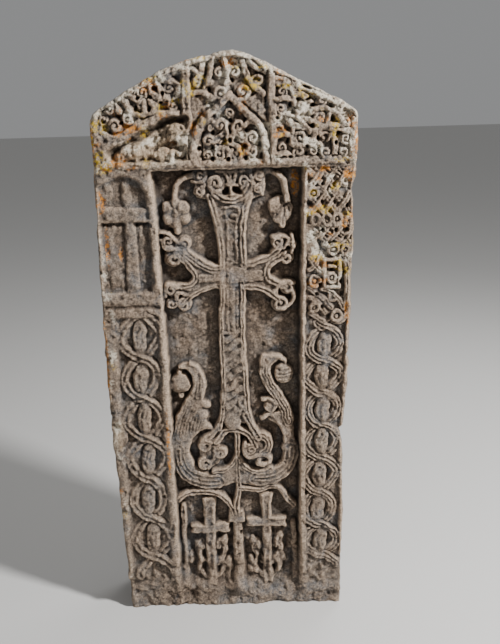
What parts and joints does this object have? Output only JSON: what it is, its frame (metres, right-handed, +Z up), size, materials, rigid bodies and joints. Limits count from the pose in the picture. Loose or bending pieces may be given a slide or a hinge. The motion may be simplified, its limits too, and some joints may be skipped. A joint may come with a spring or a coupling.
{
  "type": "khachkar",
  "caption": "Upright carved memorial stone slab with a gabled head and, in a sunk panel, a leafy cross between two bands of knotwork.",
  "frame": {"origin": "centre of the bounding box at the slab's flat underside, where it meets the ground", "axes": "+Z up, +X to the right as the carved front is seen, carved front towards -Y"},
  "size_m": [0.8228, 0.2672, 1.837],
  "materials": {
    "stone": "rough weathered volcanic stone, grey brown, with pale and orange lichen"
  },
  "bodies": {
    "root": {"khachkar_stone": "stone"}
  },
  "joints": []
}
